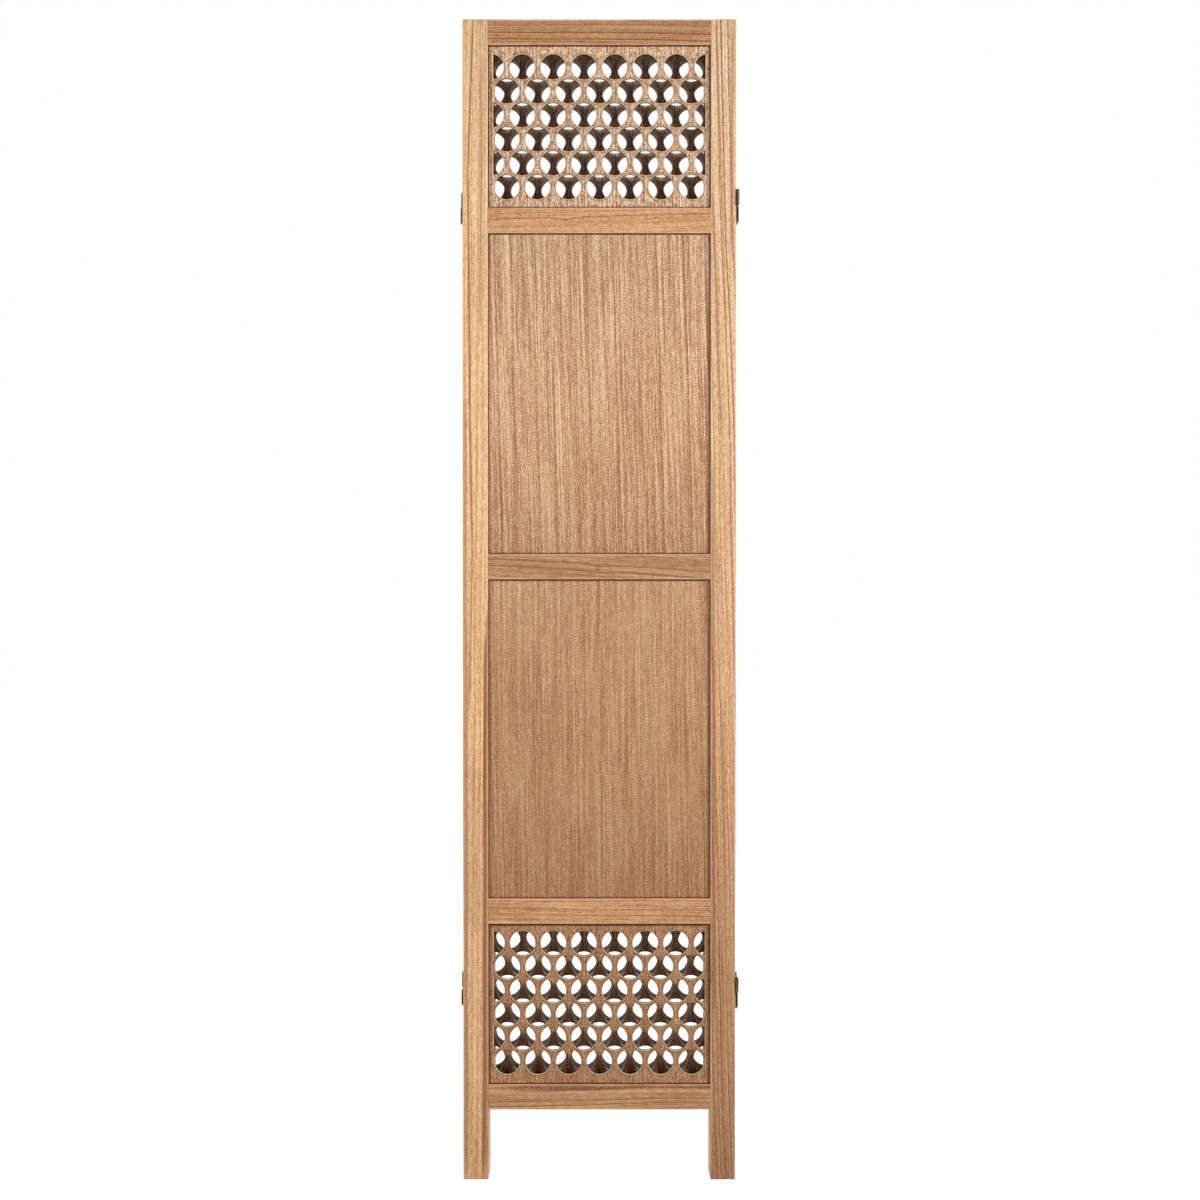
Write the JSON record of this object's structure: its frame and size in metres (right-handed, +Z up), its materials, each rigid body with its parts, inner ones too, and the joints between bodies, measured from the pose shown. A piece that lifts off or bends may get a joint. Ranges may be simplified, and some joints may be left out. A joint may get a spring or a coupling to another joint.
{
  "type": "room divider",
  "caption": "Folding room divider of hinged wooden panels with pierced round-hole lattices at top and bottom, shown folded flat.",
  "frame": {"origin": "on the floor, under the middle of the folded stack's bounding box", "axes": "+Z up, +X along the panels' width, +Y from the front panel to the rearmost one"},
  "size_m": [0.4094, 0.0776, 1.7],
  "materials": {
    "stile_wood": "light wood, vertical grain, satin",
    "rail_wood": "light wood, horizontal grain, satin",
    "board_wood": "light wood veneer, vertical wavy grain, satin",
    "lattice_wood": "light wood, pierced, satin",
    "hinge_metal": "dark bronze plating",
    "screw_metal": "dark bronze plating"
  },
  "bodies": {
    "panel_1": {"panel_1_left_stile": "stile_wood", "panel_1_right_stile": "stile_wood", "panel_1_top_rail": "rail_wood", "panel_1_upper_rail": "rail_wood", "panel_1_middle_rail": "rail_wood", "panel_1_lower_rail": "rail_wood", "panel_1_bottom_rail": "rail_wood", "panel_1_upper_lattice": "lattice_wood", "panel_1_lower_lattice": "lattice_wood", "panel_1_upper_board": "board_wood", "panel_1_lower_board": "board_wood", "panel_1_hinge_screws": "screw_metal", "hinge_1_2_first_leaves": "hinge_metal"},
    "panel_2": {"panel_2_left_stile": "stile_wood", "panel_2_right_stile": "stile_wood", "panel_2_top_rail": "rail_wood", "panel_2_upper_rail": "rail_wood", "panel_2_middle_rail": "rail_wood", "panel_2_lower_rail": "rail_wood", "panel_2_bottom_rail": "rail_wood", "panel_2_upper_lattice": "lattice_wood", "panel_2_lower_lattice": "lattice_wood", "panel_2_upper_board": "board_wood", "panel_2_lower_board": "board_wood", "panel_2_hinge_screws": "screw_metal", "hinge_1_2_second_leaves": "hinge_metal", "hinge_2_3_first_leaves": "hinge_metal"},
    "panel_3": {"panel_3_left_stile": "stile_wood", "panel_3_right_stile": "stile_wood", "panel_3_top_rail": "rail_wood", "panel_3_upper_rail": "rail_wood", "panel_3_middle_rail": "rail_wood", "panel_3_lower_rail": "rail_wood", "panel_3_bottom_rail": "rail_wood", "panel_3_upper_lattice": "lattice_wood", "panel_3_lower_lattice": "lattice_wood", "panel_3_upper_board": "board_wood", "panel_3_lower_board": "board_wood", "panel_3_hinge_screws": "screw_metal", "hinge_2_3_second_leaves": "hinge_metal", "hinge_3_4_first_leaves": "hinge_metal"},
    "panel_4": {"panel_4_left_stile": "stile_wood", "panel_4_right_stile": "stile_wood", "panel_4_top_rail": "rail_wood", "panel_4_upper_rail": "rail_wood", "panel_4_middle_rail": "rail_wood", "panel_4_lower_rail": "rail_wood", "panel_4_bottom_rail": "rail_wood", "panel_4_upper_lattice": "lattice_wood", "panel_4_lower_lattice": "lattice_wood", "panel_4_upper_board": "board_wood", "panel_4_lower_board": "board_wood", "panel_4_hinge_screws": "screw_metal", "hinge_3_4_second_leaves": "hinge_metal"},
    "hinge_link_1_2": {"hinge_1_2_links": "hinge_metal", "hinge_1_2_pins": "hinge_metal"},
    "hinge_link_2_3": {"hinge_2_3_links": "hinge_metal", "hinge_2_3_pins": "hinge_metal"},
    "hinge_link_3_4": {"hinge_3_4_links": "hinge_metal", "hinge_3_4_pins": "hinge_metal"}
  },
  "joints": [
    {"name": "fold_1_2_front_pin", "type": "hinge", "parent": "panel_1", "child": "hinge_link_1_2", "pos_m": [0.2025, -0.03665, 0.8525], "axis": [0, 0, -1], "range_deg": [0, 180]},
    {"name": "fold_1_2_back_pin", "type": "hinge", "parent": "hinge_link_1_2", "child": "panel_2", "pos_m": [0.2025, -0.01765, 0.8525], "axis": [0, 0, -1], "range_deg": [0, 180]},
    {"name": "fold_2_3_front_pin", "type": "hinge", "parent": "panel_2", "child": "hinge_link_2_3", "pos_m": [-0.2025, 0.00135, 0.8525], "axis": [0, 0, 1], "range_deg": [0, 180]},
    {"name": "fold_2_3_back_pin", "type": "hinge", "parent": "hinge_link_2_3", "child": "panel_3", "pos_m": [-0.2025, 0.02035, 0.8525], "axis": [0, 0, 1], "range_deg": [0, 180]},
    {"name": "fold_3_4_front_pin", "type": "hinge", "parent": "panel_3", "child": "hinge_link_3_4", "pos_m": [0.2025, 0.00135, 0.8525], "axis": [0, 0, -1], "range_deg": [0, 180]},
    {"name": "fold_3_4_back_pin", "type": "hinge", "parent": "hinge_link_3_4", "child": "panel_4", "pos_m": [0.2025, 0.02035, 0.8525], "axis": [0, 0, -1], "range_deg": [0, 180]}
  ]
}
